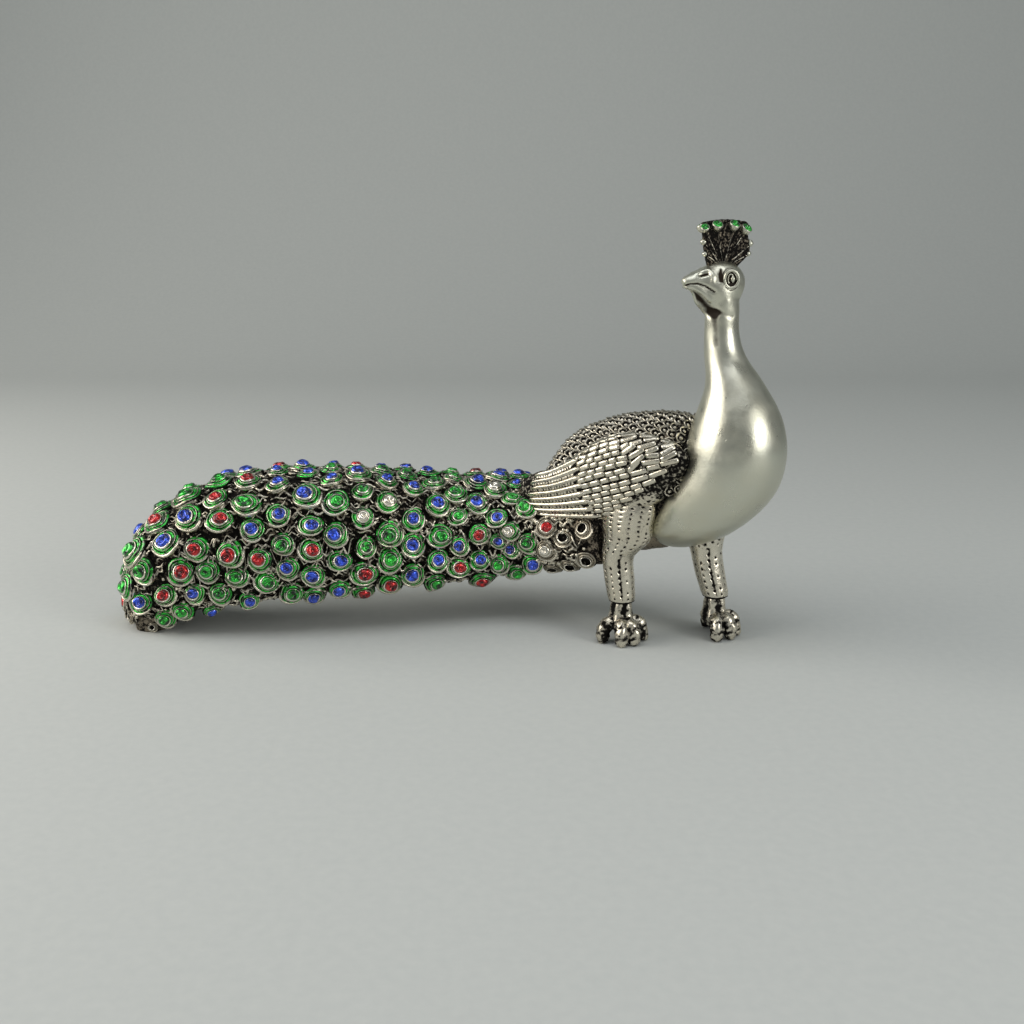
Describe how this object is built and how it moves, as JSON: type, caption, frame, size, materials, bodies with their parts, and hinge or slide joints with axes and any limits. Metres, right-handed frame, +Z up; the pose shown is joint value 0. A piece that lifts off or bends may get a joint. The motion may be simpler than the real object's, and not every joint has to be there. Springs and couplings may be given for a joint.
{
  "type": "peacock figurine",
  "caption": "Small cast metal peacock standing on clawed feet and the tip of its long train, with feathered wings, a fan crest and round enamelled eyes over the train.",
  "frame": {"origin": "middle of the figurine's box, on the surface that it stands on", "axes": "+X from the tip of the train to the breast, +Z up, the bird's left wing towards +Y"},
  "size_m": [0.165, 0.057, 0.1031],
  "materials": {
    "silver": "satin silver, dark tarnish in the carving",
    "green_enamel": "glossy translucent enamel",
    "blue_enamel": "glossy translucent enamel",
    "red_enamel": "glossy translucent enamel"
  },
  "bodies": {
    "root": {"peacock": "silver"}
  },
  "joints": []
}
